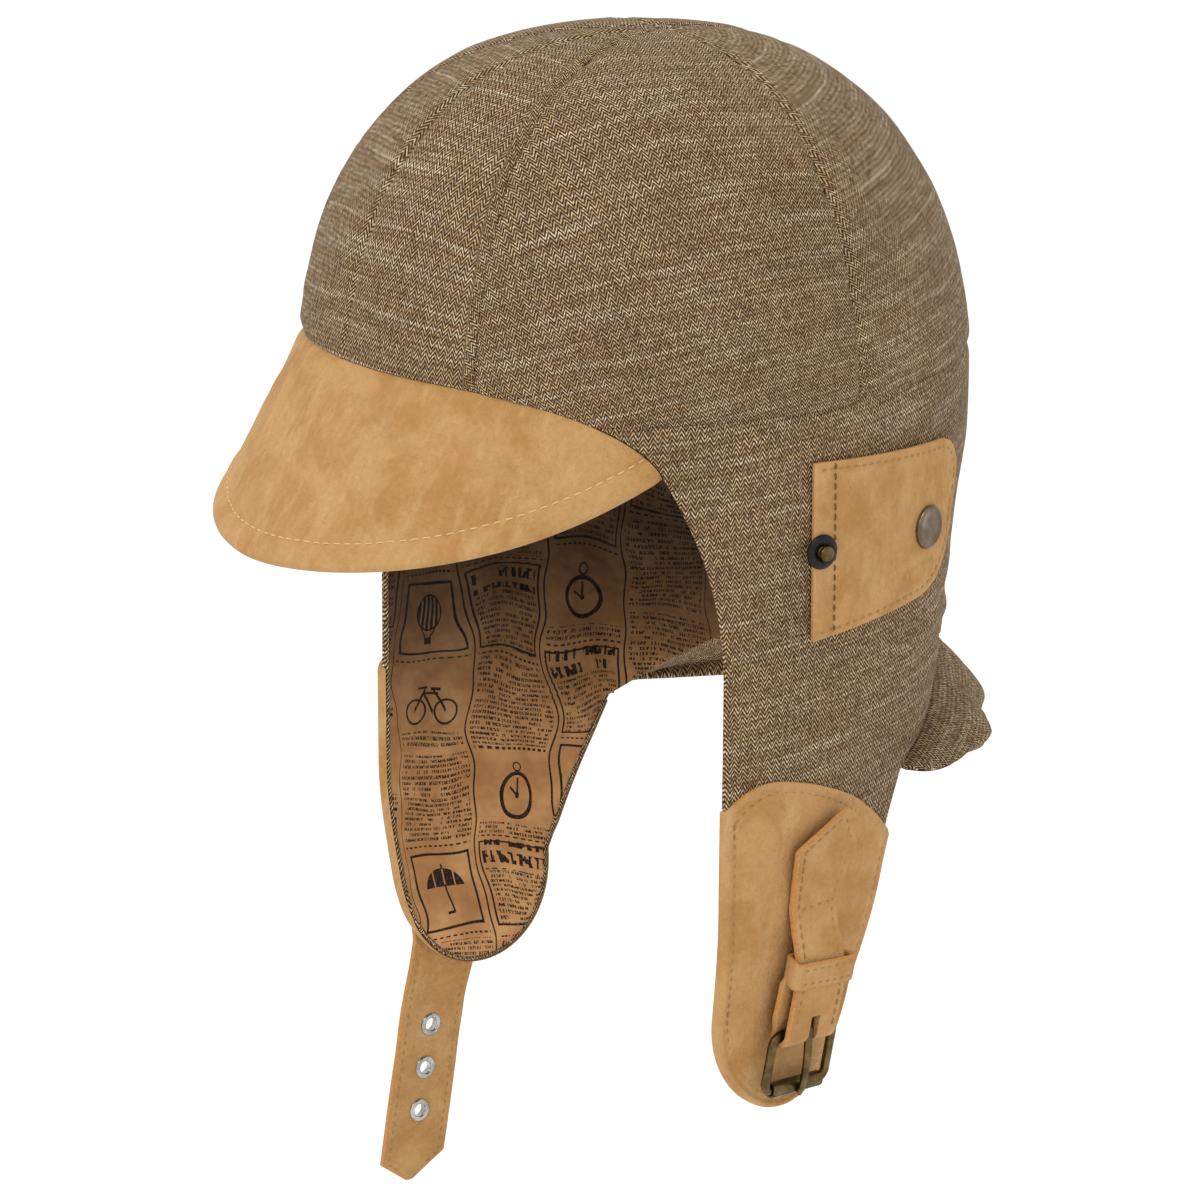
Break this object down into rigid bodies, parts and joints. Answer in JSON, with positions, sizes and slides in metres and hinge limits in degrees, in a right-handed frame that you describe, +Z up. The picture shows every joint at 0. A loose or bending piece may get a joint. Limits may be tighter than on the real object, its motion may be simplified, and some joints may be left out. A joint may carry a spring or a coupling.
{
  "type": "aviator hat",
  "caption": "Panelled herringbone aviator hat with a suede peak, ear flaps with suede tips, snap tabs, a neck flap, a printed lining and a buckled chin strap.",
  "frame": {"origin": "the middle of the head opening, level with the foot of the dome, where a head carries the hat", "axes": "+Z up through the crown, -Y the way the peak points, +X towards the wearer's left ear"},
  "size_m": [0.1926, 0.2429, 0.3745],
  "materials": {
    "herringbone": "slubby herringbone weave",
    "lining_print": "printed satin",
    "suede": "napped suede",
    "black_metal": "black oxide",
    "antique_brass": "antique",
    "bronze": "brushed bronze",
    "nickel": "polished nickel"
  },
  "bodies": {
    "hat": {"crown_panel_front_left": "herringbone", "crown_panel_front_right": "herringbone", "crown_panel_side_left": "herringbone", "crown_panel_side_right": "herringbone", "crown_panel_rear_left": "herringbone", "crown_panel_rear_right": "herringbone", "side_panel_left": "herringbone", "side_panel_right": "herringbone", "neck_flap": "herringbone", "lining_crown": "lining_print", "lining_left": "lining_print", "lining_right": "lining_print", "peak": "suede", "flap_patch_left": "suede", "flap_patch_right": "suede", "tab_left": "suede", "tab_right": "suede", "buckle_strap": "suede", "keeper": "suede", "eyelet_strap": "suede", "back_strap": "suede", "tab_washer_left": "black_metal", "tab_washer_right": "black_metal", "tab_stud_left": "antique_brass", "tab_stud_right": "antique_brass", "tab_cap_left": "bronze", "tab_cap_right": "bronze", "eyelet_1": "nickel", "eyelet_2": "nickel", "eyelet_3": "nickel"},
    "buckle": {"buckle_frame": "antique_brass"},
    "prong": {"buckle_prong": "antique_brass"},
    "roller": {"buckle_roller": "antique_brass"}
  },
  "joints": [
    {"name": "buckle_swing", "type": "hinge", "parent": "hat", "child": "buckle", "pos_m": [0.08407, 0.00103, -0.17183], "axis": [0.1769, -0.9818, 0.069], "range_deg": [0, 60]},
    {"name": "prong_swing", "type": "hinge", "parent": "buckle", "child": "prong", "pos_m": [0.08407, 0.00103, -0.17183], "axis": [0.1769, -0.9818, 0.069], "range_deg": [0, 55]},
    {"name": "roller_spin", "type": "hinge", "parent": "buckle", "child": "roller", "pos_m": [0.08169, -0.00061, -0.18899], "axis": [-0.1769, 0.9818, -0.069], "continuous": true}
  ]
}
